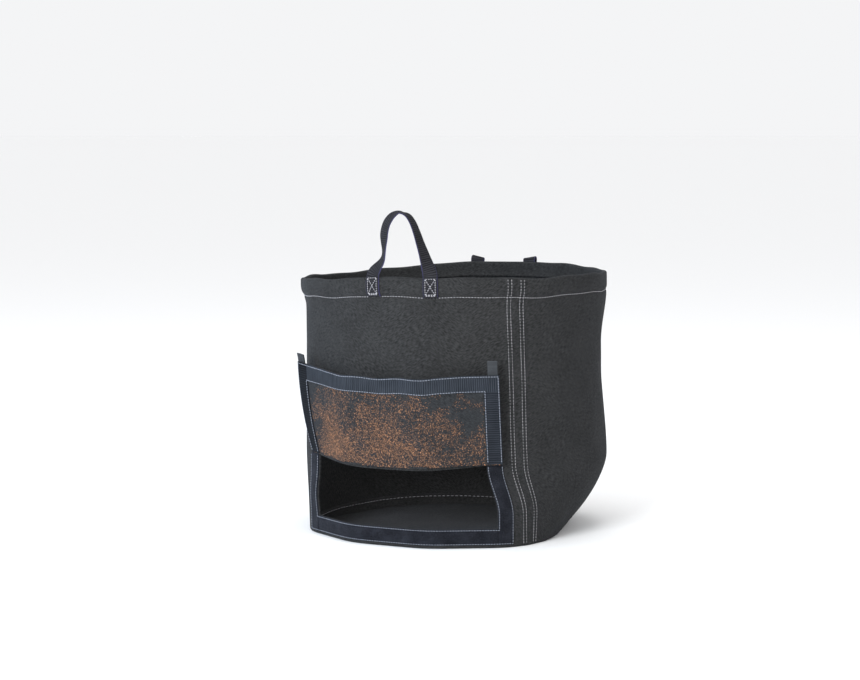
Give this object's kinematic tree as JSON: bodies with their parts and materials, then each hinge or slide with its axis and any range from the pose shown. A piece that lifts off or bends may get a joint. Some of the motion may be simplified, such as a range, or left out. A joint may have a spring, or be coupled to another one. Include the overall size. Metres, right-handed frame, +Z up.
{
  "type": "fabric grow bag",
  "caption": "Round felt grow bag with a folded hem, two webbing handles and a hook-and-loop harvest flap folded up over an open window low on its front.",
  "frame": {"origin": "centre of the base's underside, on the ground", "axes": "+Z up; -Y towards the front, the side with the window and its flap; +X to the right of a person who faces the window"},
  "size_m": [0.3988, 0.4361, 0.4201],
  "materials": {
    "felt": "matte needle-punched felt, charcoal",
    "hook_tape": "ribbed woven hook tape, dark slate blue",
    "loop_tape": "fuzzy loop pile tape, near black",
    "webbing": "ribbed polypropylene webbing, dark slate",
    "tab_webbing": "narrow grey webbing",
    "thread": "pale blue-white sewing thread"
  },
  "bodies": {
    "bag": {"wall_panel": "felt", "base_panel": "felt", "loop_tape_left": "loop_tape", "loop_tape_right": "loop_tape", "loop_tape_bottom": "loop_tape", "flap_sewn_edge": "felt", "front_handle_foot_left": "webbing", "front_handle_foot_right": "webbing", "rear_handle_foot_left": "webbing", "rear_handle_foot_right": "webbing", "base_seam_stitching": "thread", "hem_stitching": "thread", "side_seam_stitching_1": "thread", "side_seam_stitching_2": "thread", "side_seam_stitching_3": "thread", "side_seam_stitching_4": "thread", "window_inner_stitching": "thread", "window_outer_stitching": "thread", "flap_edge_stitching_lower": "thread", "flap_edge_stitching_upper": "thread", "front_handle_box_stitch_left": "thread", "front_handle_box_stitch_right": "thread", "rear_handle_box_stitch_left": "thread", "rear_handle_box_stitch_right": "thread"},
    "flap_middle": {"flap_panel_middle": "felt", "hook_tape_end_middle": "hook_tape", "flap_middle_stitching_outer": "thread", "flap_middle_stitching_inner": "thread"},
    "flap_left": {"flap_panel_left": "felt", "hook_tape_end_left": "hook_tape", "hook_tape_side_left": "hook_tape", "pull_tab_left": "tab_webbing", "flap_left_stitching_outer": "thread", "flap_left_stitching_inner": "thread"},
    "flap_right": {"flap_panel_right": "felt", "hook_tape_end_right": "hook_tape", "hook_tape_side_right": "hook_tape", "pull_tab_right": "tab_webbing", "flap_right_stitching_outer": "thread", "flap_right_stitching_inner": "thread"},
    "front_handle": {"front_handle_strap": "webbing"},
    "rear_handle": {"rear_handle_strap": "webbing"}
  },
  "joints": [
    {"name": "flap_hinge", "type": "hinge", "parent": "bag", "child": "flap_middle", "pos_m": [0, -0.1982, 0.1075], "axis": [1, 0, 0], "range_deg": [0, 174]},
    {"name": "flap_left_flex", "type": "hinge", "parent": "flap_middle", "child": "flap_left", "pos_m": [-0.05422, -0.1982, 0.1075], "axis": [0, -0.1045, 0.9945], "range_deg": [0, 57.6]},
    {"name": "flap_right_flex", "type": "hinge", "parent": "flap_middle", "child": "flap_right", "pos_m": [0.05422, -0.1982, 0.1075], "axis": [0, -0.1045, 0.9945], "range_deg": [-59.1, 0]},
    {"name": "front_handle_swing", "type": "hinge", "parent": "bag", "child": "front_handle", "pos_m": [0.01933, -0.20072, 0.3384], "axis": [0.9954, 0.0958, 0], "range_deg": [-65, 172]},
    {"name": "rear_handle_swing", "type": "hinge", "parent": "bag", "child": "rear_handle", "pos_m": [-0.01917, 0.19906, 0.3384], "axis": [-0.9954, -0.0958, 0], "range_deg": [-230, 0]}
  ],
  "couplings": [
    {"joint": "flap_left_flex", "follows": "flap_hinge", "ratio": 0.331},
    {"joint": "flap_right_flex", "follows": "flap_hinge", "ratio": -0.3396}
  ]
}
